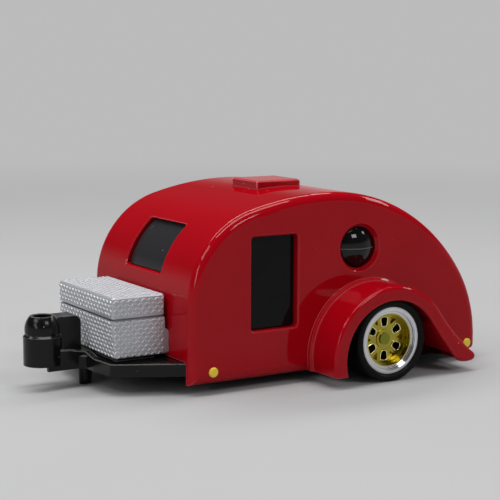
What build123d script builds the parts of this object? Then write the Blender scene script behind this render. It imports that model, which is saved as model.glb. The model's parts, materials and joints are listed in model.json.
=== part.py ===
from build123d import *

import os
from math import cos, radians, sin, sqrt

# A die-cast toy teardrop trailer at about 1:64, in millimetres.
# The origin is on the floor below the middle of the trailer's length.
# +X is the trailer's left side, -Y is forward to the hitch, +Z is up.
# Heights end in _z and are above the floor, radii end in _r.

# Body casting
body_length = 44.6        # front wall to tail
body_width = 27.5
tongue_reach = 15.8       # front wall to the nose of the coupler
roof_z = 24.0             # crown of the roof
skirt_z = 1.3             # lower edge of the walls
wall = 1.3
side_round = 1.2          # between the sides and the roof
tail_corner_round = 0.5   # lower edge of the tail
crown_back = 20.5         # crown behind the front wall
front_knee_z = 10.8       # the front wall is upright up to here
front_roundness = 0.91    # radius of the tight arc over the smaller leg of its quarter
tail_knee_z = 3.0
tail_roundness = 0.833

# Openings of the body
door_back = 8.5           # front edge of the door recess behind the front wall
door_length = 6.8
door_sill_z = 7.3
door_height = 11.8
door_corner_r = 0.45
port_ahead = 1.52         # porthole centre ahead of the axle
port_above = 4.38         # and above the crown of the fender
port_r = 2.72
port_bevel = 0.43
window_width = 9.7
window_low_z = 14.0
window_high_z = 19.95
window_corner_r = 0.3
edge_break = 0.15         # along the door and window openings

# Galley hatch, moulded shut: a groove round the tail
hatch_side = 2.2          # in from the side walls
hatch_low_z = 3.4
hatch_high_z = 19.0
groove_width = 0.22
groove_depth = 0.18

# Roof vent
vent_back = 15.65         # front edge behind the front wall
vent_length = 6.7
vent_width = 6.35
vent_rise = 0.85          # above the crown of the roof
vent_edge = 0.2

# Wheels
wheel_r = 5.3
axle_ahead = 18.35        # axle ahead of the tail
tyre_gap = 1.2            # between the tyre and the side wall
tyre_width = 4.0
tyre_height = 1.02        # from the rim's edge out to the tread
tyre_round = 0.38
tyre_slope = 0.35         # from the rim lip out over the tyre's bead
rim_recess = 0.3          # rim lip inboard of the tyre's side
rim_lip = 0.4             # flat width of the lip
step_width = 0.15         # steps of the barrel below the lip
chrome_steps = 3
chrome_step_depth = 0.12
gold_steps = 3
gold_step_depth = 0.57
spoke_thick = 0.7
spoke_count = 6
window_in_r = 1.6         # wheel windows, from the hub toward the barrel
window_margin = 0.2       # between the windows and the barrel
window_in_half = 0.36
window_out_half = 0.58
window_round = 0.34
pocket_in_r = 2.0         # blind pockets where each spoke forks
pocket_margin = 0.08
pocket_half = 0.5
pocket_depth = 0.35
hub_r = 1.2
hub_proud = 0.12
cap_r = 0.75
cap_proud = 0.3
hub_boss_r = 1.1
hub_boss_length = 1.6

# Axle and its bearings
axle_r = 0.5
axle_gap = 0.05           # running gap round the axle
slot_gap = 0.12           # round the axle in the side walls
bearing_length = 3.0
bearing_width = 5.0
bearing_cap = 1.0         # above the axle's bore

# Fenders
fender_cover = 0.55       # outer face beyond the tyre
fender_lip = 0.45         # face plate outboard of the tyre
arch_drop = 2.0           # centre of the arch below the axle
arch_gap = 1.93           # its opening's radius over that of the tyre
arch_band = 1.82          # width of the face plate round the opening
well_gap = 0.9            # round the tyre inside the fender
arch_turn = 35            # where the arch runs out into the tail, degrees above level
foot_z = 1.5              # front foot of the fender
tail_top = (4.15, 2.5)    # points of the tail, behind the arch and above the floor
tail_under = (3.9, 1.42)
tail_heel = (1.45, 1.65)
tail_hollow_z = 2.75      # underside of the tail inboard of the face plate
tail_wall = 1.1           # behind that hollow
fender_round = 0.5
opening_edge = 0.15
ledge_height = 0.35       # low step round the fender's root
ledge_out = 0.7
ledge_edge = 0.2

# Black moulded chassis and drawbar
fit = 0.12                # between the mouldings and the casting
base_thick = 1.2
base_panel = 0.35         # sunk panels of the underside
base_rim = 1.6
frame_z = 2.4             # underside of the drawbar
frame_thick = 1.6
frame_corner_half = 8.3   # front corners of the A-frame
frame_corner_reach = 8.0
frame_cross_half = 4.2    # its cross member
frame_cross_reach = 8.5
frame_root = 3.0          # length of the A-frame inside the body
frame_rail = 1.5
frame_web = 0.7           # thickness between the rails
frame_round = 0.8         # at its corners
neck_half = 1.8
neck_round = 0.9          # where it meets the cross member
neck_rise = 0.9           # over the A-frame at the coupler
neck_foot_rise = 0.49     # and at the cross member
gusset_length = 0.8       # wedges beside the foot of the neck
pad_height = 0.45         # locating pad under the tool box
pad_inset = 1.0
coupler_r = 2.4
coupler_low_z = 3.1
coupler_shoulder_z = 6.7
coupler_shoulder = 0.22
coupler_top_z = 9.2
coupler_dome_r = 2.15
coupler_swell_r = 2.05    # the dome two thirds of the way up
coupler_top_r = 1.55
hitch_bore_r = 1.25
post_half = 1.3
post_length = 3.2
post_gap = 1.15           # between the post and the tool box
post_top_z = 9.1
post_round = 0.9
post_flare = 0.75         # at the rear of its foot
jack_r = 0.95
jack_foot_r = 0.75
jack_ahead = 7.7          # jack foot ahead of the body
rivet_r = 0.9
rivet_head_r = 1.5
rivet_head = 0.5
rivet_edge = 0.2
rivet_length = 3.6
rivet_post_r = 1.9
rivet_front_back = 12.0   # front rivet behind the front wall
rivet_rear_ahead = 7.0    # rear rivet ahead of the tail

# Black cabin insert
insert_thick = 1.0
door_pane_depth = 1.0     # panes below the casting's outer face
front_pane_depth = 0.6
dome_proud = 0.4          # porthole domes above the casting's outer face
dome_rise = 1.1

# Tool box on the drawbar
box_half = 7.95
box_depth = 7.15
box_gap = 0.5             # between the lid and the body
box_step_z = 7.65         # below this the chest reaches back to the body
box_seam_z = 9.2
box_seam = 0.25
box_seam_inset = 0.35
box_top_z = 12.0
box_rake = 0.35
box_round = 0.35
chest_edge = 0.3          # along the chest's top at the sides and its rear step
lid_edge = 0.15

# Painted marker dots
marker_r = 0.62
marker_proud = 0.2
marker_edge = 0.12
marker_front = (3.1, 2.85)    # behind the front wall, above the floor
marker_rear = (1.75, 2.4)     # ahead of the tail, above the floor

# Places that follow from the sizes
length = tongue_reach + body_length
nose_y = -length / 2
front_y = nose_y + tongue_reach
tail_y = length / 2
crown_y = front_y + crown_back
axle_y = tail_y - axle_ahead
axle_z = wheel_r
half = body_width / 2
inner_half = half - wall
fitted_half = inner_half - fit
base_z = skirt_z + base_thick
bearing_top_z = axle_z + axle_r + bearing_cap
frame_top_z = frame_z + frame_thick
neck_low_z = frame_top_z + neck_foot_rise
box_low_z = frame_top_z + pad_height
coupler_y = nose_y + coupler_r
box_rear_y = front_y - box_gap
box_front_y = box_rear_y - box_depth
box_middle_y = (box_front_y + box_rear_y) / 2
tyre_in_x = half + tyre_gap
tyre_out_x = tyre_in_x + tyre_width
rim_r = wheel_r - tyre_height
lip_x = tyre_out_x - rim_recess
chrome_in_r = rim_r - rim_lip - chrome_steps * step_width
gold_in_r = chrome_in_r - gold_steps * step_width
gold_lip_x = lip_x - chrome_steps * chrome_step_depth
spoke_x = gold_lip_x - (gold_steps - 1) * gold_step_depth
fender_x = tyre_out_x + fender_cover
arch_z = axle_z - arch_drop
arch_open_r = wheel_r + arch_gap
arch_outer_r = arch_open_r + arch_band
port_y = axle_y - port_ahead
port_z = arch_z + arch_outer_r + port_above
cut = 1.0                 # how far cutting shapes run past a face
rivet_places = {
    "rivet_front": front_y + rivet_front_back,
    "rivet_rear": tail_y - rivet_rear_ahead,
}
axle_line = Axis((0, axle_y, axle_z), (1, 0, 0))


def body_side(inset, low_z=skirt_z):
    """Side outline of the body on the YZ plane, set in by a wall or a fit.

    Each end rises upright to its knee and reaches the crown over two tangent arcs.
    """
    ends = (
        (front_y, 1, front_knee_z, front_roundness),
        (tail_y, -1, tail_knee_z, tail_roundness),
    )
    crown = (crown_y, roof_z - inset)
    feet = []
    with BuildSketch(Plane.YZ) as side:
        with BuildLine():
            for wall_y, toward, knee_z, roundness in ends:
                run, rise = abs(crown_y - wall_y), roof_z - knee_z
                tight = roundness * min(run, rise)
                wide = (run**2 + rise**2 - 2 * run * tight) / (2 * (rise - tight))
                lean_y, lean_z = toward * (tight - run) / (wide - tight), (wide - rise) / (wide - tight)
                foot, knee = (wall_y + toward * inset, low_z), (wall_y + toward * inset, knee_z)
                joint = (crown_y + (wide - inset) * lean_y, roof_z - wide + (wide - inset) * lean_z)
                Line(foot, knee)
                TangentArc(knee, joint, tangent=(0, 1))
                TangentArc(crown, joint, tangent=(-toward, 0))
                feet.append(foot)
            Line(*feet)
        make_face()
    return side.sketch


def from_axle(radius, angle):
    """A point of the fender's arch, its angle in degrees above level at the rear."""
    return axle_y + radius * cos(radians(angle)), arch_z + radius * sin(radians(angle))


def behind_arch(point, grow=0.0):
    """A point of the fender's tail, moved outward by a step's height."""
    return axle_y + arch_outer_r + point[0] + grow, point[1] + grow


def on_arch(reach, z):
    """A point at this height on the front of the fender's arch."""
    return axle_y - sqrt(reach**2 - (arch_z - z) ** 2), z


def fender_side(grow):
    """Outline of a fender before its opening and its foot are cut, on the YZ plane."""
    reach = arch_outer_r + grow
    low_foot = on_arch(reach, foot_z - cut)
    with BuildSketch(Plane.YZ) as side:
        with BuildLine():
            arch = ThreePointArc(low_foot, from_axle(reach, 90), from_axle(reach, arch_turn))
            fall = TangentArc(arch @ 1, behind_arch(tail_top, grow), tangent=arch % 1)
            tip = TangentArc(fall @ 1, behind_arch(tail_under, grow), tangent=fall % 1)
            heel = TangentArc(tip @ 1, behind_arch(tail_heel), tangent=tip % 1)
            TangentArc(heel @ 1, low_foot, tangent=heel % 1)
        make_face()
    return side.sketch


def fender_opening():
    """Outline of what a fender leaves open round the wheel, on the YZ plane."""
    inner_foot = on_arch(arch_open_r, foot_z)
    with BuildSketch(Plane.YZ) as opening:
        with BuildLine():
            arch = ThreePointArc(inner_foot, from_axle(arch_open_r, 90), from_axle(arch_open_r, arch_turn))
            fall = TangentArc(arch @ 1, behind_arch(tail_heel), tangent=arch % 1)
            below = fall @ 1 + (fall % 1) * cut
            Polyline(fall @ 1, below, (below.X, -cut), (inner_foot[0], -cut), inner_foot)
        make_face()
    return opening.sketch


def side_plane(x):
    """A plane across the trailer whose own axes are the row's Y and Z."""
    return Plane.YZ.offset(x)


with BuildPart() as fender_left:
    fender_width = fender_x - inner_half
    extrude(fender_side(0).moved(Location((inner_half, 0, 0))), amount=fender_width)
    arch_top = (fender_x, axle_y, arch_z + arch_outer_r)
    fillet(fender_left.edges().sort_by_distance(arch_top)[0], radius=fender_round)
    extrude(fender_side(ledge_height).moved(Location((inner_half, 0, 0))), amount=wall + ledge_out)
    ledge_top = (half + ledge_out, axle_y, arch_z + arch_outer_r + ledge_height)
    chamfer(fender_left.edges().sort_by_distance(ledge_top)[0], length=ledge_edge)
    extrude(fender_opening().moved(Location((inner_half, 0, 0))), amount=fender_width, mode=Mode.SUBTRACT)
    extrude(fender_opening().moved(Location((fender_x - opening_edge, 0, 0))), amount=opening_edge,
            taper=-45, mode=Mode.SUBTRACT)
    with BuildSketch(side_plane(inner_half)) as below_foot:
        with Locations((axle_y, foot_z)):
            Rectangle(arch_outer_r + ledge_height + cut, foot_z + cut, align=(Align.MAX, Align.MAX))
    extrude(amount=fender_width, mode=Mode.SUBTRACT)

with BuildPart() as body_shell:
    extrude(body_side(0), amount=half, both=True)
    low_tail = body_shell.edges().filter_by(Axis.X).sort_by_distance((0, tail_y, skirt_z))[0]
    fillet(low_tail, radius=tail_corner_round)
    side_edges = body_shell.edges().group_by(Axis.X)[0] + body_shell.edges().group_by(Axis.X)[-1]
    over_skirt = [edge for edge in side_edges if edge.center().Z > skirt_z + tail_corner_round / 4]
    fillet(over_skirt, radius=side_round)
    # The galley hatch is a groove of even depth that follows the curve of the tail.
    with BuildPart(mode=Mode.PRIVATE) as skin:
        extrude(body_side(-cut), amount=half, both=True)
        extrude(body_side(groove_depth), amount=half, both=True, mode=Mode.SUBTRACT)
    with BuildPart(mode=Mode.PRIVATE) as hatch_groove:
        with BuildSketch(Plane.XZ.offset(-crown_y)):
            with Locations((0, (hatch_low_z + hatch_high_z) / 2)):
                RectangleRounded(body_width - 2 * hatch_side, hatch_high_z - hatch_low_z, side_round)
                RectangleRounded(body_width - 2 * hatch_side - 2 * groove_width,
                                 hatch_high_z - hatch_low_z - 2 * groove_width,
                                 side_round - groove_width, mode=Mode.SUBTRACT)
        extrude(amount=-(tail_y - crown_y + cut))
        add(skin.part, mode=Mode.INTERSECT)
    add(hatch_groove.part, mode=Mode.SUBTRACT)
    # Vent on the roof, one piece with it.
    vent_y = front_y + vent_back + vent_length / 2
    with BuildSketch(Plane.XY.offset(roof_z - wall)) as vent:
        with Locations((0, vent_y)):
            Rectangle(vent_width, vent_length)
    extrude(amount=vent_rise + wall)
    chamfer(body_shell.faces().sort_by(Axis.Z)[-1].edges(), length=vent_edge)
    # Fenders, with the wheel wells cut behind their face plates.
    add(fender_left.part)
    mirror(fender_left.part, about=Plane.YZ)
    extrude(body_side(wall, skirt_z - cut), amount=inner_half, both=True, mode=Mode.SUBTRACT)
    for out in (1, -1):
        with BuildSketch(side_plane(out * half)) as well:
            with Locations((axle_y, axle_z)):
                Circle(wheel_r + well_gap)
            with Locations((axle_y, tail_hollow_z)):
                Rectangle(arch_outer_r + tail_top[0] - tail_wall, tail_hollow_z,
                          align=(Align.MIN, Align.MAX))
        extrude(amount=out * (fender_x - fender_lip - half), mode=Mode.SUBTRACT)
    # The drawbar leaves through a notch under the front wall.
    with BuildSketch(Plane.XZ.offset(-front_y - wall - cut)) as notch:
        with Locations((0, skirt_z - cut)):
            Rectangle(2 * inner_half, frame_top_z + fit - skirt_z + cut, align=(Align.CENTER, Align.MIN))
    extrude(amount=wall + 2 * cut, mode=Mode.SUBTRACT)
    # Door recesses, portholes and axle slots go through both side walls.
    with BuildSketch(Plane.YZ) as side_openings:
        with Locations((front_y + door_back + door_length / 2, door_sill_z + door_height / 2)):
            RectangleRounded(door_length, door_height, door_corner_r)
        with Locations((port_y, port_z)):
            Circle(port_r)
        with Locations((axle_y, axle_z)):
            Circle(axle_r + slot_gap)
            Rectangle(2 * (axle_r + slot_gap), axle_z, align=(Align.CENTER, Align.MAX))
    extrude(amount=half + cut, both=True, mode=Mode.SUBTRACT)
    with BuildSketch(Plane.XZ.offset(-crown_y)) as front_opening:
        with Locations((0, (window_low_z + window_high_z) / 2)):
            RectangleRounded(window_width, window_high_z - window_low_z, window_corner_r)
    extrude(amount=crown_back + cut, mode=Mode.SUBTRACT)
    window_sill = (0, front_y, window_low_z)
    chamfer(body_shell.edges().sort_by_distance(window_sill)[0], length=edge_break)
    for out in (1, -1):
        port_top = (out * half, port_y, port_z + port_r)
        chamfer(body_shell.edges().sort_by_distance(port_top)[0], length=port_bevel)
        door_sill = (out * half, front_y + door_back + door_length / 2, door_sill_z)
        chamfer(body_shell.edges().sort_by_distance(door_sill)[0], length=edge_break)
    # Rivet posts reach down from the roof to the base plate.
    for post_y in rivet_places.values():
        with BuildSketch(Plane.XY.offset(base_z)) as post:
            with Locations((0, post_y)):
                Circle(rivet_post_r)
        extrude(until=Until.NEXT)
        with BuildSketch(Plane.XY.offset(base_z)) as pilot:
            with Locations((0, post_y)):
                Circle(rivet_r)
        extrude(amount=rivet_length - base_thick, mode=Mode.SUBTRACT)

with BuildPart() as cabin_insert:
    extrude(body_side(wall + fit), amount=fitted_half, both=True)
    extrude(body_side(wall + fit + insert_thick), amount=fitted_half - insert_thick, both=True,
            mode=Mode.SUBTRACT)
    split(bisect_by=Plane.XY.offset(bearing_top_z), keep=Keep.TOP)
    # Front pane, raised into the window and curved with the body.
    with BuildPart(mode=Mode.PRIVATE) as front_pane:
        extrude(body_side(front_pane_depth), amount=half, both=True)
        extrude(body_side(wall + fit + insert_thick), amount=half, both=True, mode=Mode.SUBTRACT)
        with BuildSketch(Plane.XZ.offset(-crown_y)):
            with Locations((0, (window_low_z + window_high_z) / 2)):
                RectangleRounded(window_width - 2 * fit, window_high_z - window_low_z - 2 * fit,
                                 window_corner_r)
        extrude(amount=crown_back + cut, mode=Mode.INTERSECT)
    add(front_pane.part)
    # Door panes and porthole domes on each side.
    pane_root_x = fitted_half - insert_thick / 2
    dome_r = port_r - fit
    dome_x = half + dome_proud
    for out in (1, -1):
        with BuildSketch(side_plane(out * pane_root_x)) as door_pane:
            with Locations((front_y + door_back + door_length / 2, door_sill_z + door_height / 2)):
                RectangleRounded(door_length - 2 * fit, door_height - 2 * fit, door_corner_r)
        extrude(amount=out * (half - door_pane_depth - pane_root_x))
        with BuildSketch(Plane.XY.offset(port_z)) as dome_section:
            with BuildLine():
                Polyline(
                    (out * dome_x, port_y),
                    (out * pane_root_x, port_y),
                    (out * pane_root_x, port_y + dome_r),
                    (out * (dome_x - dome_rise), port_y + dome_r),
                )
                TangentArc((out * dome_x, port_y), (out * (dome_x - dome_rise), port_y + dome_r),
                           tangent=(0, 1))
            make_face()
        revolve(axis=Axis((0, port_y, port_z), (1, 0, 0)))
    for post_y in rivet_places.values():
        with BuildSketch(Plane.XY.offset(skirt_z)) as post_hole:
            with Locations((0, post_y)):
                Circle(rivet_post_r + fit)
        extrude(amount=roof_z, mode=Mode.SUBTRACT)

with BuildPart() as chassis:
    base_middle_y = (front_y + tail_y) / 2
    base_length = body_length - 2 * (wall + fit)
    with BuildSketch(Plane.XY.offset(skirt_z)) as base:
        with Locations((0, base_middle_y)):
            RectangleRounded(2 * fitted_half, base_length, side_round)
    extrude(amount=base_thick)
    # A-frame, drawn for the left half and mirrored.
    cross_y = front_y - frame_cross_reach
    corner_y = front_y - frame_corner_reach
    with BuildSketch(Plane.XY.offset(frame_z)) as drawbar:
        with BuildLine():
            Polyline(
                (0, coupler_y),
                (neck_half, coupler_y),
                (neck_half, cross_y),
                (frame_cross_half, cross_y),
                (frame_corner_half, corner_y),
                (fitted_half, front_y),
                (fitted_half, front_y + frame_root),
                (0, front_y + frame_root),
                close=True,
            )
        make_face()
        for corner, radius in (
            ((neck_half, cross_y), neck_round),
            ((frame_cross_half, cross_y), frame_round),
            ((frame_corner_half, corner_y), frame_round),
        ):
            fillet(drawbar.vertices().sort_by_distance(corner)[0], radius=radius)
        mirror(about=Plane.YZ)
    extrude(amount=frame_thick)
    # Below, the A-frame is hollow between its rails.
    with BuildSketch(Plane.XY.offset(frame_z)) as frame_hollow:
        with BuildLine():
            Polyline(
                (frame_rail - frame_corner_half, corner_y + frame_rail),
                (frame_corner_half - frame_rail, corner_y + frame_rail),
                (fitted_half - frame_rail, front_y),
                (frame_rail - fitted_half, front_y),
                close=True,
            )
        make_face()
    extrude(amount=frame_thick - frame_web, mode=Mode.SUBTRACT)
    with BuildSketch(Plane.XY.offset(frame_top_z)) as pad:
        with Locations((0, box_middle_y)):
            Rectangle(2 * (box_half - pad_inset), box_depth - 2 * pad_inset)
    extrude(amount=pad_height)
    # Neck, falling from the coupler to the A-frame, with a wedge on each side of its foot.
    with BuildSketch(Plane.YZ) as neck_side:
        with BuildLine():
            Polyline(
                (coupler_y, coupler_low_z),
                (coupler_y, frame_top_z + neck_rise),
                (coupler_y + coupler_r, frame_top_z + neck_rise),
                (cross_y, neck_low_z),
                (box_front_y, frame_top_z),
                (box_front_y, frame_z),
                (cross_y, frame_z),
                (coupler_y + coupler_r, coupler_low_z),
                close=True,
            )
        make_face()
    extrude(amount=neck_half, both=True)
    with BuildSketch(Plane.XZ.offset(-cross_y)) as gussets:
        Polygon((-frame_cross_half, frame_top_z), (frame_cross_half, frame_top_z),
                (neck_half, neck_low_z), (-neck_half, neck_low_z))
    extrude(amount=-gusset_length)
    # Post, upright ahead of the tool box, with a flared foot.
    post_rear_y = box_front_y - post_gap
    with BuildSketch(Plane.YZ) as post_side:
        with BuildLine():
            Polyline(
                (post_rear_y - post_length, coupler_low_z),
                (post_rear_y - post_length, post_top_z),
                (post_rear_y, post_top_z),
                (post_rear_y, neck_low_z),
                (post_rear_y + post_flare, neck_low_z),
                (post_rear_y + post_flare, coupler_low_z),
                close=True,
            )
        make_face()
        fillet(post_side.vertices().sort_by_distance((post_rear_y, post_top_z))[0], radius=post_round)
        fillet(post_side.vertices().sort_by_distance((post_rear_y, neck_low_z))[0], radius=post_flare)
    extrude(amount=post_half, both=True)
    with BuildSketch(Plane.YZ) as coupler_side:
        with BuildLine():
            swell_z = (coupler_shoulder_z + 2 * coupler_top_z) / 3
            Polyline(
                (coupler_y, coupler_top_z),
                (coupler_y, coupler_low_z),
                (coupler_y + coupler_r, coupler_low_z),
                (coupler_y + coupler_r, coupler_shoulder_z),
                (coupler_y + coupler_dome_r, coupler_shoulder_z + coupler_shoulder),
            )
            ThreePointArc(
                (coupler_y + coupler_dome_r, coupler_shoulder_z + coupler_shoulder),
                (coupler_y + coupler_swell_r, swell_z),
                (coupler_y + coupler_top_r, coupler_top_z),
            )
            Line((coupler_y + coupler_top_r, coupler_top_z), (coupler_y, coupler_top_z))
        make_face()
    revolve(axis=Axis((0, coupler_y, 0), (0, 0, 1)))
    with BuildSketch(Plane.XY) as hitch_hole:
        with Locations((0, coupler_y)):
            Circle(hitch_bore_r)
    extrude(amount=coupler_top_z + cut, mode=Mode.SUBTRACT)
    with BuildSketch(Plane.YZ) as jack_side:
        with BuildLine():
            jack_y = front_y - jack_ahead
            Polyline(
                (jack_y, 0),
                (jack_y + jack_foot_r, 0),
                (jack_y + jack_r, frame_z),
                (jack_y, frame_z + frame_web),
                close=True,
            )
        make_face()
    revolve(axis=Axis((0, jack_y, 0), (0, 0, 1)))
    # Bearing blocks carry the axle just inside the side walls.
    for out in (1, -1):
        with BuildSketch(side_plane(out * fitted_half)) as bearing:
            with Locations((axle_y, skirt_z)):
                Rectangle(bearing_width, bearing_top_z - skirt_z, align=(Align.CENTER, Align.MIN))
        extrude(amount=-out * bearing_length)
    with BuildSketch(Plane.YZ) as axle_bore:
        with Locations((axle_y, axle_z)):
            Circle(axle_r + axle_gap)
    extrude(amount=half, both=True, mode=Mode.SUBTRACT)
    # Sunk panels of the underside, ahead of and behind the axle, and the rivet seats.
    for low_y, high_y in (
        (front_y + frame_root + base_rim, axle_y - bearing_width / 2 - base_rim),
        (axle_y + bearing_width / 2 + base_rim, tail_y - wall - fit - base_rim),
    ):
        with BuildSketch(Plane.XY.offset(skirt_z)) as panel:
            with Locations((0, (low_y + high_y) / 2)):
                RectangleRounded(2 * (fitted_half - base_rim), high_y - low_y, side_round)
        extrude(amount=base_panel, mode=Mode.SUBTRACT)
    for post_y in rivet_places.values():
        with BuildSketch(Plane.XY.offset(skirt_z)) as boss:
            with Locations((0, post_y)):
                Circle(rivet_head_r + base_panel)
        extrude(amount=base_thick)
        with BuildSketch(Plane.XY.offset(skirt_z)) as seat:
            with Locations((0, post_y)):
                Circle(rivet_head_r)
        extrude(amount=rivet_head, mode=Mode.SUBTRACT)
        with BuildSketch(Plane.XY.offset(skirt_z)) as rivet_hole:
            with Locations((0, post_y)):
                Circle(rivet_r)
        extrude(amount=frame_top_z, mode=Mode.SUBTRACT)

with BuildPart() as toolbox:
    with BuildSketch(Plane.YZ) as chest:
        with BuildLine():
            Polyline(
                (box_front_y + box_rake, box_low_z),
                (front_y, box_low_z),
                (front_y, box_step_z),
                (box_rear_y, box_step_z),
                (box_rear_y, box_seam_z),
                (box_front_y, box_seam_z),
                close=True,
            )
        make_face()
    extrude(amount=box_half, both=True)
    for edge_middle in ((box_half, box_middle_y, box_seam_z), (-box_half, box_middle_y, box_seam_z),
                        (0, front_y, box_step_z)):
        chamfer(toolbox.edges().sort_by_distance(edge_middle)[0], length=chest_edge)
    for side_x in (box_half, -box_half):
        front_corner = (side_x, box_front_y + box_rake / 2, (box_low_z + box_seam_z) / 2)
        fillet(toolbox.edges().sort_by_distance(front_corner)[0], radius=box_round)
    fillet(toolbox.faces().sort_by(Axis.Z)[0].edges(), radius=box_round)
    with BuildSketch(Plane.XY.offset(box_seam_z)) as seam:
        with Locations((0, box_middle_y)):
            Rectangle(2 * (box_half - box_seam_inset), box_depth - 2 * box_seam_inset)
    extrude(amount=box_seam)
    with BuildSketch(Plane.XY.offset(box_seam_z + box_seam)) as box_lid:
        with Locations((0, box_middle_y)):
            RectangleRounded(2 * box_half, box_depth, box_round)
    extrude(amount=box_top_z - box_seam_z - box_seam)
    chamfer(toolbox.faces().sort_by(Axis.Z)[-1].edges(), length=lid_edge)

with BuildPart() as axle_wire:
    with BuildSketch(Plane.YZ) as wire:
        with Locations((axle_y, axle_z)):
            Circle(axle_r)
    extrude(amount=spoke_x - spoke_thick, both=True)

wheel_plane = Plane.XY.offset(axle_z)

with BuildPart() as tyre_left:
    with BuildSketch(wheel_plane) as tyre_section:
        with BuildLine():
            Polyline(
                (tyre_in_x, axle_y + rim_r),
                (tyre_in_x, axle_y + wheel_r),
                (tyre_out_x, axle_y + wheel_r),
                (tyre_out_x, axle_y + rim_r + tyre_slope),
                (lip_x, axle_y + rim_r),
                close=True,
            )
        make_face()
        fillet(tyre_section.vertices().sort_by_distance((tyre_out_x, axle_y + wheel_r))[0], radius=tyre_round)
        chamfer(tyre_section.vertices().sort_by_distance((tyre_in_x, axle_y + wheel_r))[0], length=tyre_round)
    revolve(axis=axle_line)

with BuildPart() as rim_left:
    stairs = [(lip_x, rim_r), (lip_x, rim_r - rim_lip)]
    for step in range(1, chrome_steps + 1):
        step_x, step_r = lip_x - step * chrome_step_depth, rim_r - rim_lip - (step - 1) * step_width
        stairs += [(step_x, step_r), (step_x, step_r - step_width)]
    stairs += [(tyre_in_x, chrome_in_r), (tyre_in_x, rim_r)]
    with BuildSketch(wheel_plane) as rim_section:
        with BuildLine():
            Polyline([(x, axle_y + r) for x, r in stairs], close=True)
        make_face()
    revolve(axis=axle_line)

# Wheel centre: six windows between spokes that fork round blind pockets at the barrel.
with BuildPart() as spokes_left:
    back_x = spoke_x - spoke_thick
    stairs = [(back_x, 0), (back_x, chrome_in_r)]
    for step in range(gold_steps):
        step_x, step_r = gold_lip_x - step * gold_step_depth, chrome_in_r - step * step_width
        stairs += [(step_x, step_r), (step_x, step_r - step_width)]
    stairs += [(spoke_x, 0)]
    with BuildSketch(wheel_plane) as dish_section:
        with BuildLine():
            Polyline([(x, axle_y + r) for x, r in stairs], close=True)
        make_face()
    revolve(axis=axle_line)
    for plane_x, radius, depth in (
        (spoke_x, hub_r, hub_proud),
        (spoke_x, cap_r, cap_proud),
        (back_x, hub_boss_r, -hub_boss_length),
    ):
        with BuildSketch(side_plane(plane_x)) as hub:
            with Locations((axle_y, axle_z)):
                Circle(radius)
        extrude(amount=depth)
    with BuildSketch(side_plane(back_x)) as axle_seat:
        with Locations((axle_y, axle_z)):
            Circle(axle_r)
    extrude(amount=-hub_boss_length, mode=Mode.SUBTRACT)
    with BuildSketch() as window_shape:
        Polygon(
            (window_in_r, -window_in_half),
            (gold_in_r - window_margin, -window_out_half),
            (gold_in_r - window_margin, window_out_half),
            (window_in_r, window_in_half),
        )
        fillet(window_shape.vertices(), radius=window_round)
    with BuildSketch() as pocket_shape:
        Polygon((pocket_in_r, 0), (gold_in_r - pocket_margin, -pocket_half),
                (gold_in_r - pocket_margin, pocket_half))
    turn = 360 / spoke_count
    for shape, first, depth in ((window_shape, turn / 2, spoke_thick + cut), (pocket_shape, 0, pocket_depth)):
        with BuildSketch(side_plane(spoke_x)) as cutters:
            with Locations((axle_y, axle_z)):
                with PolarLocations(0, spoke_count, start_angle=first):
                    add(shape.sketch)
        extrude(amount=-depth, mode=Mode.SUBTRACT)

with BuildPart() as tyre_right:
    mirror(tyre_left.part, about=Plane.YZ)

with BuildPart() as rim_right:
    mirror(rim_left.part, about=Plane.YZ)

with BuildPart() as spokes_right:
    mirror(spokes_left.part, about=Plane.YZ)

with BuildPart() as marker_lamps:
    for out in (1, -1):
        with BuildSketch(side_plane(out * half)) as dots:
            with Locations((front_y + marker_front[0], marker_front[1]),
                           (tail_y - marker_rear[0], marker_rear[1])):
                Circle(marker_r)
        extrude(amount=out * marker_proud)
    outer_rims = marker_lamps.edges().group_by(Axis.X)
    chamfer(outer_rims[0] + outer_rims[-1], length=marker_edge)

pieces = {
    "body_shell": body_shell,
    "cabin_insert": cabin_insert,
    "chassis": chassis,
    "toolbox": toolbox,
    "axle": axle_wire,
    "tyre_left": tyre_left,
    "tyre_right": tyre_right,
    "rim_left": rim_left,
    "rim_right": rim_right,
    "spokes_left": spokes_left,
    "spokes_right": spokes_right,
    "marker_lamps": marker_lamps,
}
for rivet_name, post_y in rivet_places.items():
    with BuildPart() as rivet:
        with BuildSketch(Plane.XY.offset(skirt_z)) as head:
            with Locations((0, post_y)):
                Circle(rivet_head_r)
        extrude(amount=rivet_head)
        chamfer(rivet.edges().group_by(Axis.Z)[0], length=rivet_edge)
        with BuildSketch(Plane.XY.offset(skirt_z)) as shank:
            with Locations((0, post_y)):
                Circle(rivet_r)
        extrude(amount=rivet_length)
    pieces[rivet_name] = rivet

os.makedirs("parts", exist_ok=True)
for name, piece in pieces.items():
    piece.part.label = name
    export_step(piece.part, f"parts/{name}.step")
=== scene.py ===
# %% [markdown]
# # A die-cast toy teardrop trailer
#
# The trailer is about 60 mm long and stands on two rubber tyres and the foot of its drawbar.
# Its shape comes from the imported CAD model, the frame. This lesson adds what a solid can't
# carry: paint, plating, rubber, moulded plastic, the raised pattern of the tool box and the
# fine beads of the wheels. Blender works in metres. Every finish is worked out in
# millimetres, because a toy's grain and scratches are far smaller than a real trailer's.

import json
from math import pi, radians

import bpy
from mathutils import Matrix, Vector


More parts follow.
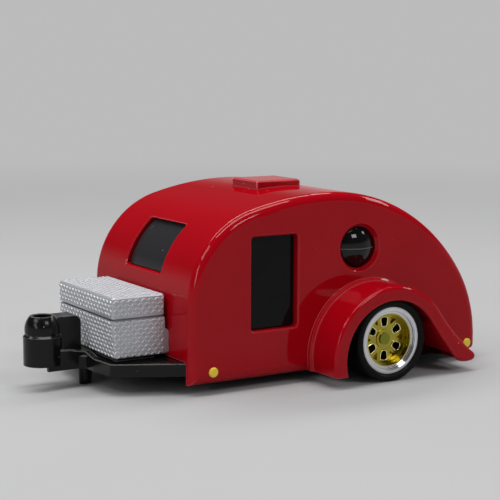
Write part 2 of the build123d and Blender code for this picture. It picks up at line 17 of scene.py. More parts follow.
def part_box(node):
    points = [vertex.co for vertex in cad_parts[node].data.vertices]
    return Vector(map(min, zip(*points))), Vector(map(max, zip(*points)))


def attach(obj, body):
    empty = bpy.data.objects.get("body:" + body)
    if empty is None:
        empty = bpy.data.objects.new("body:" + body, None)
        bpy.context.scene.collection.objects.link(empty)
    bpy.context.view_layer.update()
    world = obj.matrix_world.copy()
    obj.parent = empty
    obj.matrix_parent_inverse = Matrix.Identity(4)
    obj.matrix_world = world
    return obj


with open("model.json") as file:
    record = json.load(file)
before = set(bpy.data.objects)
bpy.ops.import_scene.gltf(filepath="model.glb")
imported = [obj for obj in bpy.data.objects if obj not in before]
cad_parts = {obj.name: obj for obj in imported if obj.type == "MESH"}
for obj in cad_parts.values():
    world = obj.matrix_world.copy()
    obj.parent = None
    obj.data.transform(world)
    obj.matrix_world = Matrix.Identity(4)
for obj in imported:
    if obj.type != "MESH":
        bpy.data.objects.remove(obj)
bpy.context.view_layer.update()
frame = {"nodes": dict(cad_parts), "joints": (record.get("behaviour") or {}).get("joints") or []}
nodes = frame["nodes"]
MM = 0.001
axle_y, axle_z = (value / MM for value in frame["joints"][0]["pos_m"][1:])
print("nodes", sorted(nodes))
print("axle in mm", round(axle_y, 2), round(axle_z, 2))

# %% [markdown]
# ## The camera
#
# The view follows the photograph: a little above the trailer, from its left front corner.
# A long lens some 19 cm away gives the mild perspective. The camera is turned step by step:
# first about its own axis for the slight roll, then up to the height it looks from, then
# round the trailer.

# %% Camera
FRAME_PIXELS = 500
FOCAL_PIXELS = 1387.5
SENSOR = 36.0
camera_place = Vector((157.31, -93.18, 41.15)) * MM
camera_azimuth = radians(58.78)
camera_elevation = radians(8.0)
camera_roll = radians(0.24)

camera_data = bpy.data.cameras.new("camera")
camera_data.sensor_width = SENSOR
camera_data.lens = FOCAL_PIXELS / FRAME_PIXELS * SENSOR
camera_data.clip_start = 0.01
camera_data.clip_end = 20.0
camera = bpy.data.objects.new("camera", camera_data)
bpy.context.scene.collection.objects.link(camera)
camera.matrix_world = (
    Matrix.Translation(camera_place)
    @ Matrix.Rotation(camera_azimuth, 4, "Z")
    @ Matrix.Rotation(pi / 2 - camera_elevation, 4, "X")
    @ Matrix.Rotation(camera_roll, 4, "Z")
)
bpy.context.scene.camera = camera
print("lens", round(camera_data.lens, 1), "mm, camera at", [round(v, 4) for v in camera_place])

# %% [markdown]
# ## Node graphs as sentences
#
# A finish mixes patterns: grain, dust, worn edges. Drawing the graph by hand hides the
# thought behind it, so a small class wraps an output socket and lets Python's own signs add
# the Math nodes. A second class is a graph, with one method that adds any node. The same two
# serve materials, the world and Geometry Nodes.


# %% Wires
class Wire:
    """An output socket that takes part in Python expressions."""

    def __init__(self, graph, socket):
        self.graph = graph
        self.socket = socket

    def math(self, operation, *values):
        """Adds a Math node fed by these wires and numbers."""
        return self.graph.node("ShaderNodeMath", {"operation": operation}, dict(enumerate(values)))

    def __add__(self, other):
        return self.math("ADD", self, other)

    def __sub__(self, other):
        return self.math("SUBTRACT", self, other)

    def __rsub__(self, other):
        return self.math("SUBTRACT", other, self)

    def __mul__(self, other):
        return self.math("MULTIPLY", self, other)

    __radd__ = __add__
    __rmul__ = __mul__

    def size(self):
        """The value without its sign."""
        return self.math("ABSOLUTE", self)

    def wave(self):
        """The sine of the value, moved into 0 to 1."""
        return self.math("SINE", self) * 0.5 + 0.5

    def near(self, centre, half, soft):
        """1 within half of centre, falling to 0 over the soft width beyond."""
        return self.graph.step((self - centre).size(), half + soft, half)


# %% Graphs
class Graph:
    """A node tree with one method that adds any node."""

    def __init__(self, tree):
        self.tree = tree

    def node(self, kind, settings=None, inputs=None, output=0):
        """Adds a node, sets it up, feeds its sockets and returns one of its outputs."""
        made = self.tree.nodes.new(kind)
        for name, value in (settings or {}).items():
            setattr(made, name, value)
        for socket, value in (inputs or {}).items():
            if isinstance(value, Wire):
                self.tree.links.new(value.socket, made.inputs[socket])
            else:
                made.inputs[socket].default_value = value
        return Wire(self, made.outputs[output]) if made.outputs else None

    def vector(self, operation, first, second, output=0):
        """Adds a Vector Math node."""
        settings = {"operation": operation}
        return self.node("ShaderNodeVectorMath", settings, {0: first, 1: second}, output)

    def step(self, value, low, high):
        """A smooth step from 0 at low to 1 at high."""
        settings = {"interpolation_type": "SMOOTHSTEP"}
        inputs = {"Value": value, "From Min": low, "From Max": high}
        return self.node("ShaderNodeMapRange", settings, inputs)

    def between(self, share, first, second):
        """The number that lies this share of the way from first to second."""
        inputs = {"Value": share, "To Min": first, "To Max": second}
        return self.node("ShaderNodeMapRange", None, inputs)


# %% Finishes
class Finish(Graph):
    """One material: its Principled shader and the patterns that feed it."""

    def __init__(self, name, **constants):
        self.material = bpy.data.materials.new(name)
        self.material.use_nodes = True
        super().__init__(self.material.node_tree)
        self.shader = self.tree.nodes["Principled BSDF"]
        for socket, value in constants.items():
            self.shader.inputs[socket.replace("_", " ")].default_value = value
        place = self.node("ShaderNodeTexCoord", output="Object")
        self.place = self.vector("MULTIPLY", place, (1 / MM, 1 / MM, 1 / MM))
        self.x, self.y, self.z = (
            self.node("ShaderNodeSeparateXYZ", None, {0: self.place}, axis) for axis in "XYZ"
        )

    def noise(self, size, detail=2.0, place=None):
        """Noise from 0 to 1 whose lumps are about this many millimetres wide."""
        inputs = {"Vector": place or self.place, "Scale": 1 / size, "Detail": detail}
        return self.node("ShaderNodeTexNoise", None, inputs, "Fac")

    def specks(self, spacing, size):
        """Round specks, one to a cell of this spacing, most of them small or left out."""
        inputs = {"Vector": self.place, "Scale": 1 / spacing}
        distance = self.node("ShaderNodeTexVoronoi", None, inputs, "Distance")
        cell = self.node("ShaderNodeTexVoronoi", None, inputs, "Color")
        luck = self.step(self.node("ShaderNodeSeparateColor", None, {0: cell}), 0.45, 1.0)
        return self.step(distance * spacing, size * luck + 0.001, 0.0)

    def mix(self, share, first, second):
        """The colour that lies this share of the way from first to second."""
        first, second = (v if isinstance(v, Wire) else (*v, 1.0) for v in (first, second))
        return self.node("ShaderNodeMix", {"data_type": "RGBA"}, {0: share, 6: first, 7: second}, 2)

    def bump(self, height, depth, below=None):
        """Bends the normal by a height of 0 to 1 that stands for this depth in millimetres."""
        inputs = {"Height": height, "Distance": depth * MM}
        if below is not None:
            inputs["Normal"] = below
        return self.node("ShaderNodeBump", None, inputs)

    def edges(self, width, start, end, upper=False):
        """1 on edges, by how far the bevelled normal leans from the true one, or on the upper
        edges alone, where the bevelled normal also points up."""
        bevelled = self.node("ShaderNodeBevel", {"samples": 6}, {"Radius": width * MM})
        true = self.node("ShaderNodeNewGeometry", output="Normal")
        found = self.step(self.vector("DOT_PRODUCT", bevelled, true, "Value"), start, end)
        if upper:
            rise = self.node("ShaderNodeSeparateXYZ", None, {0: bevelled}, "Z")
            found = found * self.step(rise, 0.2, 0.5)
        return found

    def from_line(self, y, z):
        """The distance from a line across the trailer at this y and z."""
        flat = self.vector("MULTIPLY", self.place, (0.0, 1.0, 1.0))
        return self.vector("DISTANCE", flat, (0.0, y, z), "Value")

    def faces_inward(self):
        """1 where the surface faces the middle plane of the trailer, as inside the casting."""
        normal = self.node("ShaderNodeNewGeometry", output="True Normal")
        across = self.node("ShaderNodeSeparateXYZ", None, {0: normal}, "X")
        return self.step(across * self.x, -3.0, -6.0)

    def feed(self, **wires):
        """Links wires to the sockets of the shader."""
        for socket, wire in wires.items():
            self.tree.links.new(wire.socket, self.shader.inputs[socket.replace("_", " ")])

    def cover(self, *names):
        """Gives the finish to CAD nodes."""
        for name in names:
            slots = nodes[name].data.materials
            slots.clear()
            slots.append(self.material)
        print(self.material.name, "on", ", ".join(names))


# %% [markdown]
# ## Red paint over cast zinc
#
# The casting is sprayed deep red and cleared: the colour looks lit from inside, and every
# rounded edge carries a sharp streak. Base colour gives the red, a coat gives the streaks.
# Sprayed paint on a toy is thick: it has a faint ripple and catches specks of dust. Sharp
# edges and the rims of the roof vent are painted pale pink, a painted highlight. The wheel
# wells, the space under the fender tails and the faces turned inward are painted near black
# with no coat, a painted shade.
# Two fine moulded lines cross each side of the roof vent.

# %% Red paint
red = Finish("red_paint", IOR=1.45, Specular_IOR_Level=0.0, Coat_Roughness=0.03, Coat_IOR=1.36)
paint_clouds = red.noise(6.0, detail=3.0)
paint_ripple = red.noise(0.55, detail=1.0)
paint_dust = red.specks(1.8, 0.17)
# Painted highlight: the sharp edges found here are mixed towards pale pink.
red_edge_highlight = red.edges(0.28, 0.97, 0.78)
darker_red, lighter_red = (0.275, 0.0008, 0.0044), (0.325, 0.0012, 0.0064)
# The pale pink is a painted highlight for sharp edges, the near black a painted shade for the
# wells.
highlight_pink, dust_on_red, shade_dark = (0.80, 0.20, 0.22), (0.72, 0.50, 0.48), (0.006, 0.0012, 0.0014)
deep = red.mix(paint_clouds, darker_red, lighter_red)
print("red from", darker_red, "to", lighter_red)

# %% Painted shade in the wheel wells and under the fender tails
arch_z, well_r, well_face_x, well_soft = 3.3, 7.25, 19.0, 0.1
tail_start_y, tail_start_soft = 16.5, 0.5
tail_slope, tail_under_line, tail_half_width = 0.6, 18.5, 13.95

# Painted shade: the wells and the space under the fender tails turn near black, with no coat.
in_well = (
    red.step(red.from_line(axle_y, arch_z), well_r + well_soft, well_r - well_soft)
    * red.step(red.x.size(), well_face_x + well_soft, well_face_x - well_soft)
)
under_tail = (
    red.step(red.y, tail_start_y, tail_start_y + tail_start_soft)
    * red.step(red.z + tail_slope * red.y, tail_under_line + 0.1, tail_under_line - 0.1)
    * red.step(red.x.size(), tail_half_width + 0.05, tail_half_width - 0.05)
)
in_shade = in_well.math("MAXIMUM", in_well, under_tail)
# Faces turned inward join the painted shade.
painted_shade = in_shade.math("MAXIMUM", in_shade, red.faces_inward())
print("dark wells of radius", well_r, "mm round y", round(axle_y, 2), "z", arch_z)

# %% The roof vent, and the paint on the casting
roof_crown_z, vent_top_z = 24.0, 24.8
vent_middle_y, vent_half_length, vent_half_width = 4.6, 3.28, 3.08
vent_lines_y, vent_line_half, vent_line_soft = (3.73, 7.35), 0.04, 0.06
vent_band, vent_top_band, vent_side_x = 0.15, 0.2, (3.0, 3.1)

on_vent = red.step(red.z, roof_crown_z - vent_band, roof_crown_z)
vent_x = red.step(red.x.size(), vent_half_width - vent_band, vent_half_width)
vent_away = (red.y - vent_middle_y).size()
vent_y = red.step(vent_away, vent_half_length - vent_band, vent_half_length)
vent_z = red.step(red.z, vent_top_z - vent_top_band, vent_top_z)
vent_rim_highlight = on_vent * (vent_x * vent_y + vent_y * vent_z + vent_z * vent_x)
vent_side = on_vent * red.step(red.x.size(), *vent_side_x)
vent_lines = vent_side * sum(red.y.near(y, vent_line_half, vent_line_soft) for y in vent_lines_y)
# Painted highlight on the sharp edges and on the rims of the roof vent.
highlighted_red = red.mix(0.42 * red_edge_highlight + 0.4 * vent_rim_highlight, deep, highlight_pink)
dusted = red.mix(paint_dust * 0.6, highlighted_red, dust_on_red)
red.feed(
    Base_Color=red.mix(painted_shade * 0.92, dusted, shade_dark),
    Roughness=0.3 + 0.15 * paint_clouds + 0.3 * paint_dust,
    Coat_Weight=0.64 * (1 - painted_shade) * (1 - paint_dust),
    Normal=red.bump(1 - vent_lines, 0.05, red.bump(paint_ripple, 0.004)),
)
red.cover("body_shell")

# %% [markdown]
# ## Black panes
#
# The windows of such a toy are one black moulding behind the casting. The panes are polished
# in the tool, so they mirror the room, and the porthole domes are the glossiest. The front
# pane is painted a little greyer, a painted reflection of the pale room. A parting line
# crosses each dome at its middle.

# %% Black panes
dome_y, dome_z, dome_r, dome_foot_x = 10.33, 16.62, 2.62, 12.9
front_pane_x = 7.0
panes = Finish("black_insert", Specular_IOR_Level=0.0, Coat_IOR=1.46, Coat_Roughness=0.05)
pane_haze = panes.noise(3.0, detail=4.0)
pane_scratch = panes.noise(0.12)
pane_dust = panes.specks(1.2, 0.15)
on_dome = (
    panes.step(panes.x.size(), dome_foot_x, dome_foot_x + 0.2) * panes.y.near(dome_y, dome_r, 0.05)
)
on_front = panes.step(panes.x.size(), front_pane_x + 1.0, front_pane_x)
parting_line = on_dome * panes.z.near(dome_z, 0.03, 0.07)
# Painted reflection: the black of the front pane is mixed greyer.
black = panes.mix(on_front, (0.0035, 0.0035, 0.004), (0.022, 0.022, 0.024))
lined_black = panes.mix(parting_line * 0.5, black, (0.16, 0.16, 0.15))
pane_gloss = 0.34 + 0.5 * on_dome + 0.3 * on_front
panes.feed(
    Base_Color=panes.mix(pane_dust * 0.5, lined_black, (0.38, 0.36, 0.35)),
    Roughness=0.4 + 0.2 * pane_haze,
    Coat_Weight=pane_gloss * (1 - 0.3 * pane_haze) * (1 - pane_dust),
    Normal=panes.bump(1 - parting_line, 0.03, panes.bump(pane_scratch, 0.001)),
)
panes.cover("cabin_insert")

# %% [markdown]
# ## Black mouldings
# The base, the drawbar and the coupler are one black part, polished where the tool was and
# finely pitted elsewhere. Its upward-facing edges turn paler in patches: partly wear from
# handling, partly a painted highlight where light from above catches them. Handling wears its edges
# paler, most of all along the drawbar.

# %% Black plastic
plastic = Finish("black_plastic", IOR=1.42, Specular_IOR_Level=0.3)
plastic_pits = plastic.noise(0.09, detail=3.0)
plastic_flow = plastic.noise(2.4, detail=3.0)
handled = plastic.step(plastic.noise(0.9), 0.25, 0.5)
# Upper edges in handled patches: wear, and a painted highlight from above.
worn_and_lit_edge = plastic.edges(0.3, 0.97, 0.80, upper=True) * handled
plastic_dust = plastic.specks(1.0, 0.13)
black_with_lit_edges = plastic.mix(worn_and_lit_edge * 0.75, (0.004, 0.004, 0.0045), (0.34, 0.35, 0.31))
plastic.feed(
    Base_Color=plastic.mix(plastic_dust * 0.5, black_with_lit_edges, (0.42, 0.41, 0.39)),
    Roughness=0.10 + 0.14 * plastic_flow + 0.1 * plastic_dust,
    Normal=plastic.bump(plastic_pits, 0.003),
)
plastic.cover("chassis")

# %% [markdown]
# ## Tyre rubber
#
# The tyres are plain soft rubber with no tread. Rubber is nearly black and dull, with a faint
# sheen where it stretches over the rim. Fine rings round the axle come from the mould.

# %% Tyre rubber
rim_edge_r, stretch_end_r = 4.35, 4.9
rubber = Finish("tyre", IOR=1.5, Specular_IOR_Level=0.12)
tyre_reach = rubber.from_line(axle_y, axle_z)
ring_rate = 40.0  # radians of the wave to a millimetre, so about six rings
rubber_rings = (tyre_reach * ring_rate).wave()
rubber_grain = rubber.noise(0.1, detail=3.0)
stretched = rubber.step(tyre_reach, stretch_end_r, rim_edge_r)
rubber_dust = rubber.specks(0.9, 0.1)
rubber.feed(
    Base_Color=rubber.mix(rubber_dust * 0.4, (0.0032, 0.0032, 0.0035), (0.20, 0.19, 0.18)),
    Roughness=0.58 - 0.2 * stretched + 0.1 * rubber_grain,
    Normal=rubber.bump(rubber_rings, 0.004, rubber.bump(rubber_grain, 0.006)),
)
rubber.cover("tyre_left", "tyre_right")

# %% [markdown]
# ## Plated wheels
#
# The rims are vacuum plated plastic: a mirror, though a thin one that shows the ripples of
# the plastic below. The centres are plated in yellow gold, with a duller, greener cap and
# brown pockets where each spoke forks. The barrel behind the spokes is painted near black
# and not metallic, a painted shade that makes the windows look deep.

# %% Chrome rims
barrel_step_r = (3.73, 4.18)
lip_depth_x = (17.05, 16.85)
chrome = Finish("chrome_rim", Metallic=1.0)
chrome_haze = chrome.noise(1.2, detail=3.0)
# Painted shade: deeper than the lip, the rim turns near black and not metallic.
chrome_depth_shade = chrome.step(chrome.x.size(), *lip_depth_x)
chrome_reach = chrome.from_line(axle_y, axle_z)
# Painted reflection: dark rings at the rim's steps stand in for the dark reflections in them.
step_reflection_rings = sum(chrome_reach.near(radius, 0.015, 0.035) for radius in barrel_step_r)
bright_chrome = chrome.mix(chrome_haze, (0.56, 0.56, 0.58), (0.78, 0.78, 0.79))
chrome_with_dark_rings = chrome.mix(step_reflection_rings * 0.6, bright_chrome, (0.12, 0.11, 0.13))
chrome.feed(
    Base_Color=chrome.mix(chrome_depth_shade, chrome_with_dark_rings, (0.006, 0.006, 0.007)),
    Roughness=0.05 + 0.10 * chrome_haze + 0.4 * chrome_depth_shade,
    Metallic=1 - chrome_depth_shade,
    Normal=chrome.bump(chrome.noise(0.3), 0.002),
)
chrome.cover("rim_left", "rim_right")

# %% Gold centres
spoke_x, cap_r = 17.15, 0.8
gold = Finish("gold_centre", Metallic=1.0)
gold_reach = gold.from_line(axle_y, axle_z)
gold_haze = gold.noise(0.9, detail=3.0)
gold_cap = gold.step(gold_reach, cap_r, cap_r - 0.06)
gold_pocket = gold.step(gold.x.size(), spoke_x - 0.06, spoke_x - 0.3)
# Painted shade: behind the spokes the centre turns near black and not metallic.
gold_back_shade = gold.step(gold.x.size(), spoke_x - 0.45, spoke_x - 0.65)
bright_gold = gold.mix(gold_haze, (0.26, 0.205, 0.03), (0.50, 0.42, 0.065))
capped_gold = gold.mix(gold_cap, bright_gold, (0.24, 0.25, 0.035))
brown_gold = gold.mix(gold_pocket * 0.75, capped_gold, (0.26, 0.17, 0.03))
gold.feed(
    Base_Color=gold.mix(gold_back_shade, brown_gold, (0.008, 0.008, 0.006)),
    Roughness=0.16 + 0.12 * gold_haze + 0.2 * gold_cap,
    Metallic=1 - gold_back_shade,
    Normal=gold.bump(gold.noise(0.2), 0.003),
)
gold.cover("spokes_left", "spokes_right")

# %% [markdown]
# ## Small metal and paint
#
# The axle is a plain drawn wire, the rivets are zinc posts spun over at the end, and the
# marker dots are drops of yellow paint, thicker in the middle.

# %% Wire, rivets and marker dots
wire = Finish("steel_wire", Metallic=1.0)
drawn = wire.noise(0.05, place=wire.vector("MULTIPLY", wire.place, (0.05, 1.0, 1.0)))
wire.feed(
    Base_Color=wire.mix(drawn, (0.42, 0.42, 0.43), (0.62, 0.62, 0.63)),
    Roughness=0.25 + 0.2 * drawn,
    Normal=wire.bump(drawn, 0.003),
)
wire.cover("axle")

zinc = Finish("rivet_metal", Metallic=1.0)
zinc_marks = zinc.noise(0.25, detail=4.0)
zinc.feed(
    Base_Color=zinc.mix(zinc_marks, (0.30, 0.30, 0.31), (0.55, 0.55, 0.56)),
    Roughness=0.3 + 0.25 * zinc_marks,
    Normal=zinc.bump(zinc_marks, 0.01),
)
zinc.cover("rivet_front", "rivet_rear")

yellow = Finish("yellow_marker", IOR=1.5, Coat_Weight=0.5, Coat_Roughness=0.08)
yellow_flow = yellow.noise(0.4)
yellow.feed(
    Base_Color=yellow.mix(yellow_flow, (0.66, 0.45, 0.012), (0.82, 0.62, 0.03)),
    Roughness=0.3 + 0.1 * yellow_flow,
    Normal=yellow.bump(yellow_flow, 0.01),
)
yellow.cover("marker_lamps")

# %% [markdown]
# ## Silver tread plate
#
# The tool box is moulded with the raised lozenges of tread plate and painted silver. Silver
# paint is a metal flake in lacquer: bright, but never a mirror. The lozenges get a brighter
# silver of their own and the edges turn paler, a painted highlight, and the seam below the
# lid is painted dark, a painted shade.

# %% Silver paint
lid_low_z, chest_high_z = 9.45, 9.2
silver = Finish("tread_plate", IOR=1.5, Metallic=0.45)
silver_flake = silver.noise(0.05)
silver_cloud = silver.noise(2.0, detail=3.0)
silver_edge_highlight = silver.edges(0.1, 0.98, 0.85)
# Painted shade: a dark band in the seam below the lid.
seam_shade = silver.z.near((lid_low_z + chest_high_z) / 2, 0.10, 0.05)
silver_base = silver.mix(silver_cloud, (0.38, 0.39, 0.415), (0.48, 0.49, 0.515))
# Painted highlight: the edges are mixed towards pale silver.
edge_lit_silver = silver.mix(silver_edge_highlight * 0.35, silver_base, (0.80, 0.81, 0.84))
silver.feed(
    Base_Color=silver.mix(seam_shade * 0.7, edge_lit_silver, (0.10, 0.09, 0.12)),
    Roughness=0.32 + 0.12 * silver_flake,
    Normal=silver.bump(silver_flake, 0.004),
)
silver.cover("toolbox")

# %% Brighter silver for the lozenges, a painted highlight
highlight_silver = Finish("rubbed_lozenges", IOR=1.5, Metallic=0.45)
highlight_cloud = highlight_silver.noise(0.8)
highlight_silver.feed(
    Base_Color=highlight_silver.mix(highlight_cloud, (0.50, 0.51, 0.54), (0.68, 0.69, 0.72)),
    Roughness=0.26 + 0.12 * highlight_cloud,
    Normal=highlight_silver.bump(highlight_silver.noise(0.05), 0.003),
)
print(highlight_silver.material.name, "nodes", len(highlight_silver.tree.nodes))

# %% [markdown]
# ## The lozenges of the tread plate
#
# Tread plate is the same small lozenge many times over, leaning left and right by turns.
# That is a rule, so Geometry Nodes make it: a grid gives the places, a flattened cone gives
# the lozenge, and the row and column of a place decide which way it leans. One modifier
# covers one face of the box, and each adds its plate to what came before.


# %% Trees with named inputs
def geometry_graph(name, **sizes):
    """A Geometry Nodes graph with a named input for each size."""
    tree = bpy.data.node_groups.new(name, "GeometryNodeTree")
    for way in ("INPUT", "OUTPUT"):
        tree.interface.new_socket("Geometry", in_out=way, socket_type="NodeSocketGeometry")
    for label, kind in sizes.items():
        tree.interface.new_socket(label, in_out="INPUT", socket_type="NodeSocket" + kind)
    return Graph(tree)


def given(graph, label):
    """The wire of one named input."""
    return graph.node("NodeGroupInput", output=label)


def apply_graph(graph, target, label, **values):
    """Adds the graph to an object as a modifier whose inputs have these values."""
    modifier = target.modifiers.new(label, "NODES")
    modifier.node_group = graph.tree
    for item in graph.tree.interface.items_tree:
        if item.name in values:
            modifier[item.identifier] = values[item.name]


def plain_mesh(source, name):
    """What the modifiers of an object make, as a new object with a plain mesh."""
    evaluated = source.evaluated_get(bpy.context.evaluated_depsgraph_get())
    made = bpy.data.objects.new(name, bpy.data.meshes.new_from_object(evaluated))
    bpy.data.objects.remove(source)
    bpy.context.scene.collection.objects.link(made)
    print(name, "faces", len(made.data.polygons))
    return made


def start_object(name, points=(), edges=()):
    """An object that holds only the points and edges that a tree starts from."""
    mesh = bpy.data.meshes.new(name)
    mesh.from_pydata(points, edges, [])
    made = bpy.data.objects.new(name, mesh)
    bpy.context.scene.collection.objects.link(made)
    return made


# %% The tree that covers one face
LOZENGE_SIDES = 10
SMALLEST, LARGEST = 0.92, 1.06
tread = geometry_graph(
    "tread plate", Width="Float", Height="Float", Columns="Int", Rows="Int", Place="Vector",
    Turn="Vector", Length="Float", Breadth="Float", Lift="Float", Seed="Int",
)

grid = tread.node("GeometryNodeMeshGrid", None, {
    "Size X": given(tread, "Width"), "Size Y": given(tread, "Height"),
    "Vertices X": given(tread, "Columns"), "Vertices Y": given(tread, "Rows"),
})
# The grid counts its points along Y first, so the index gives row and column.
index = tread.node("GeometryNodeInputIndex")
row = index.math("MODULO", index, given(tread, "Rows"))
column = index.math("FLOOR", index.math("DIVIDE", index, given(tread, "Rows")))
parity = index.math("MODULO", column + row, 2.0)
spin = tread.node("ShaderNodeCombineXYZ", None, {"Z": parity * (pi / 2) - pi / 4})
unsteady = tread.node("FunctionNodeRandomValue", {"data_type": "FLOAT"},
                      {2: SMALLEST, 3: LARGEST, "ID": index, "Seed": given(tread, "Seed")}, 1)
cone = tread.node("GeometryNodeMeshCone", {"fill_type": "NGON"}, {
    "Vertices": LOZENGE_SIDES, "Radius Top": 0.5, "Radius Bottom": 1.0,
    "Depth": given(tread, "Lift"),
})
stretch = tread.node("ShaderNodeCombineXYZ", None, {
    "X": given(tread, "Length") * 0.5, "Y": given(tread, "Breadth") * 0.5, "Z": 1.0,
})
lozenge = tread.node("GeometryNodeTransform", None, {"Geometry": cone, "Scale": stretch})
placed = tread.node("GeometryNodeInstanceOnPoints", None, {
    "Points": grid, "Instance": lozenge, "Rotation": spin, "Scale": unsteady,
})
turned = tread.node("GeometryNodeTransform", None, {
    "Geometry": placed, "Translation": given(tread, "Place"), "Rotation": given(tread, "Turn"),
})


# %% Ending a tree
def end_graph(graph, geometry, finish, joined=None):
    """Realizes the instances, names the material and joins what came before."""
    real = graph.node("GeometryNodeRealizeInstances", None, {"Geometry": geometry})
    covered = {"Geometry": real, "Material": finish.material}
    last = graph.node("GeometryNodeSetMaterial", None, covered)
    if joined is not None:
        join = graph.tree.nodes.new("GeometryNodeJoinGeometry")
        for part in (joined, last):
            graph.tree.links.new(part.socket, join.inputs[0])
        last = Wire(graph, join.outputs[0])
    graph.node("NodeGroupOutput", None, {0: last})


end_graph(tread, turned, highlight_silver, given(tread, "Geometry"))
print("tread plate nodes", len(tread.tree.nodes))

# %% [markdown]
# The faces of the box come from the frame: the lid and the chest share their width, and the
# seam between them stays plain. Rows and columns follow from the face's size and the pitch,
# and those at a border nearly reach it, which gives the edge its scalloped look. The front of
# the chest leans in a little towards its foot.

# %% Cover the tool box
box_low, box_high = (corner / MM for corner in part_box("toolbox"))
lid_rear_y = -14.9
chest_rake = 0.35
pitch_across, pitch_up = 0.46, 0.52
lozenge_length, lozenge_breadth, lozenge_lift = 0.55, 0.17, 0.11
margin = 0.27

lid_middle_y = (box_low.y + lid_rear_y) / 2
lid_middle_z = (lid_low_z + box_high.z) / 2
chest_middle_z = (box_low.z + chest_high_z) / 2
lid_length = lid_rear_y - box_low.y
lid_height = box_high.z - lid_low_z
chest_height = chest_high_z - box_low.z
rake = chest_rake / chest_height
tread_faces = [
    ("lid top", (0, lid_middle_y, box_high.z), (0, 0, 0), box_high.x * 2, lid_length),
    ("lid front", (0, box_low.y, lid_middle_z), (pi / 2, 0, 0), box_high.x * 2, lid_height),
    ("chest front", (0, box_low.y + chest_rake / 2, chest_middle_z), (pi / 2 + rake, 0, 0),
     box_high.x * 2, chest_height),
]
for out in (1, -1):
    side_x, side_turn = out * box_high.x, (pi / 2, 0, out * pi / 2)
    for label, middle_z, height in (
        ("lid side", lid_middle_z, lid_height),
        ("chest side", chest_middle_z, chest_height),
    ):
        tread_faces.append((label, (side_x, lid_middle_y, middle_z), side_turn, lid_length, height))

bare_box = start_object("bare_box")
for seed, (label, place, turn, width, height) in enumerate(tread_faces):
    columns = int((width - 2 * margin) / pitch_across) + 1
    rows = int((height - 2 * margin) / pitch_up) + 1
    apply_graph(
        tread, bare_box, label, Columns=columns, Rows=rows, Seed=seed,
        Width=(columns - 1) * pitch_across * MM, Height=(rows - 1) * pitch_up * MM,
        Place=Vector(place) * MM, Turn=turn,
        Length=lozenge_length * MM, Breadth=lozenge_breadth * MM, Lift=lozenge_lift * MM,
    )
lozenges = plain_mesh(bare_box, "tread_lozenges")
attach(lozenges, "trailer")

# %% [markdown]
# ## The beads of the wheels
#
# On the real wheel a thin raised bead runs round each window and is what catches the light
# first. A bead follows a path, so Geometry Nodes sweep a small circle along the outline of
# one window, rounded at its corners, and repeat it round the axle. One outline stands on
# each wheel's face, with half the bead sunk in it.

# %% The tree that repeats a bead round the axle
beads = geometry_graph(
    "wheel beads", Rounding="Float", Thickness="Float", Count="Int", Axle="Vector",
)
BEAD_SIDES, CORNER_STEPS = 8, 6
outline = beads.node("GeometryNodeMeshToCurve", None, {0: given(beads, "Geometry")})
rounded = beads.node("GeometryNodeFilletCurve", {"mode": "POLY"}, {
    "Curve": outline, "Count": CORNER_STEPS, "Radius": given(beads, "Rounding"),
    "Limit Radius": True,
})
profile = beads.node("GeometryNodeCurvePrimitiveCircle", None, {
    "Resolution": BEAD_SIDES, "Radius": given(beads, "Thickness") * 0.5,
})
bead = beads.node("GeometryNodeCurveToMesh", None, {"Curve": rounded, "Profile Curve": profile})
smooth_bead = beads.node("GeometryNodeSetShadeSmooth", None, {"Geometry": bead})
middles = beads.node("GeometryNodePoints", None, {
    "Count": given(beads, "Count"), "Position": given(beads, "Axle"),
})
turn_number = beads.node("GeometryNodeInputIndex")
around = turn_number.math("DIVIDE", turn_number, given(beads, "Count")) * (2 * pi)
about_axle = beads.node("ShaderNodeCombineXYZ", None, {"X": around})
circle = beads.node("GeometryNodeInstanceOnPoints", None, {
    "Points": middles, "Instance": smooth_bead, "Rotation": about_axle,
})
# The beads are coloured much paler than the gold centres, a painted highlight.
bead_highlight_gold = Finish("gold_bead", Metallic=1.0)
bead_haze = bead_highlight_gold.noise(0.5)
bead_highlight_gold.feed(
    Base_Color=bead_highlight_gold.mix(bead_haze, (0.90, 0.82, 0.30), (0.96, 0.90, 0.46)),
    Roughness=0.1 + 0.12 * bead_haze,
    Normal=bead_highlight_gold.bump(bead_haze, 0.004),
)
end_graph(beads, circle, bead_highlight_gold)
print("wheel beads nodes", len(beads.tree.nodes))

# %% Beads on both wheels
window_corners = ((1.60, 0.36), (2.78, 0.58))  # distance from the axle, half width
window_count, window_lean = 6, radians(30)
bead_offset, bead_rounding, bead_thickness = 0.05, 0.36, 0.2
outline_points, outline_edges = [], []
for out in (1, -1):
    first = len(outline_points)
    (in_r, in_half), (out_r, out_half) = window_corners
    corners = (
        (in_r - bead_offset, -in_half - bead_offset),
        (out_r + bead_offset, -out_half - bead_offset),
        (out_r + bead_offset, out_half + bead_offset),
        (in_r - bead_offset, in_half + bead_offset),
    )
    leaning = Matrix.Rotation(window_lean * out, 3, "X")
    outline_points += [leaning @ Vector((out * spoke_x, y, z)) * MM for y, z in corners]
    outline_edges += [(first + i, first + (i + 1) % 4) for i in range(4)]
window_outlines = start_object("window_outlines", outline_points, outline_edges)
apply_graph(
    beads, window_outlines, "beads", Count=window_count,
    Rounding=bead_rounding * MM, Thickness=bead_thickness * MM,
    Axle=Vector((0, axle_y, axle_z)) * MM,
)
wheel_beads = plain_mesh(window_outlines, "wheel_beads")
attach(wheel_beads, "wheelset")

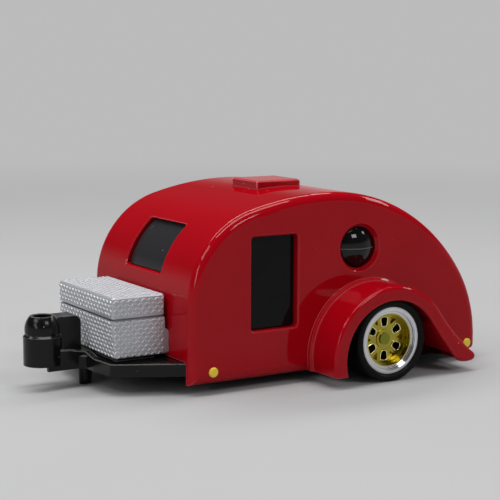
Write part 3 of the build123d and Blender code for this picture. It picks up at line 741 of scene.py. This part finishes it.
# %% [markdown]
# ## Floor, background and light
#
# The studio is plain: a pale floor that runs into a pale backdrop. The camera, mirrors and
# glass see the backdrop at full strength up to a low height, and a dim ceiling above it. One
# softbox hangs overhead and draws the streak along the near rounding of the roof. A long one
# on the far side does the same for the far one, two in front lift the tool box and the front
# corner, one behind lights the tail, and a small one at the side lights the domes.

# %% Floor
SURROUND = 0.5
FLOOR_REACH = 4.0
NEAR_PAPER, FAR_PAPER = 70.0, 380.0
floor_finish = Finish("floor_paper", Roughness=0.7, Specular_IOR_Level=0.0, Emission_Strength=1.0)
paper = floor_finish.noise(40.0)
floor_distance = floor_finish.vector("DISTANCE", floor_finish.place, (0, 0, 0), "Value")
far = floor_finish.step(floor_distance, NEAR_PAPER, FAR_PAPER)
lit_paper = floor_finish.mix(paper, (0.355, 0.355, 0.359), (0.38, 0.38, 0.384))
floor_finish.feed(
    Base_Color=floor_finish.mix(far, lit_paper, (0.0, 0.0, 0.0)),
    Emission_Color=floor_finish.mix(far, (0.0, 0.0, 0.0), (SURROUND,) * 3),
)
corners = [(x * FLOOR_REACH, y * FLOOR_REACH, 0) for x, y in ((-1, -1), (1, -1), (1, 1), (-1, 1))]
floor_mesh = bpy.data.meshes.new("floor")
floor_mesh.from_pydata(corners, [], [(0, 1, 2, 3)])
floor_mesh.materials.append(floor_finish.material)
floor = bpy.data.objects.new("floor", floor_mesh)
bpy.context.scene.collection.objects.link(floor)
print("floor", 2 * FLOOR_REACH, "m wide")

# %% World
CEILING = 0.07
DAYLIGHT = 0.30
BACKDROP_EDGE = (0.06, 0.26)
world = bpy.data.worlds.new("studio")
bpy.context.scene.world = world
world.use_nodes = True
sky = Graph(world.node_tree)
height = sky.node("ShaderNodeSeparateXYZ", None, {0: sky.node("ShaderNodeTexCoord")}, "Z")
backdrop = sky.between(sky.step(height, *BACKDROP_EDGE), SURROUND, CEILING)
seen = sky.node("ShaderNodeLightPath", output="Is Camera Ray")
for kind in ("Is Glossy Ray", "Is Transmission Ray"):
    seen = seen.math("MAXIMUM", seen, sky.node("ShaderNodeLightPath", output=kind))
strength = seen * backdrop + (1 - seen) * DAYLIGHT
background = sky.tree.nodes["Background"]
background.inputs["Color"].default_value = (1.0, 1.0, 1.0, 1.0)
sky.tree.links.new(strength.socket, background.inputs["Strength"])
print("backdrop", SURROUND, "ceiling", CEILING, "daylight", DAYLIGHT)

# %% Lamps
lamp_table = (
    # name, place, aim, (length, width), power; the length runs along Y unless it faces Y
    ("overhead_softbox", (0.03, -0.03, 0.36), (0.03, -0.03, 0.0), (0.34, 0.10), 0.82),
    ("streak_softbox", (-0.20, 0.02, 0.34), (0.0, 0.0, 0.01), (0.50, 0.08), 0.80),
    ("front_softbox", (0.02, -0.28, 0.28), (0.0, -0.02, 0.01), (0.10, 0.16), 0.27),
    ("corner_softbox", (0.12, -0.35, 0.15), (0.0, -0.02, 0.01), (0.05, 0.20), 0.22),
    ("dome_softbox", (0.31, 0.06, 0.27), (0.013, 0.01, 0.016), (0.13, 0.09), 0.34),
    ("rear_softbox", (0.06, 0.33, 0.26), (0.0, 0.02, 0.01), (0.06, 0.20), 0.30),
)
for name, place, aim, (length, width), power in lamp_table:
    lamp = bpy.data.lights.new(name, "AREA")
    lamp.shape = "RECTANGLE"
    lamp.size, lamp.size_y = length, width
    lamp.energy = power
    back = (Vector(place) - Vector(aim)).normalized()
    along = (Vector((0, 1, 0)) - back * back.y).normalized()
    holder = bpy.data.objects.new(name, lamp)
    turn = Matrix((along, back.cross(along), back)).transposed().to_4x4()
    holder.matrix_world = Matrix.Translation(place) @ turn
    bpy.context.scene.collection.objects.link(holder)
print("lamps", [row[0] for row in lamp_table])

bpy.context.scene.view_settings.view_transform = "Standard"
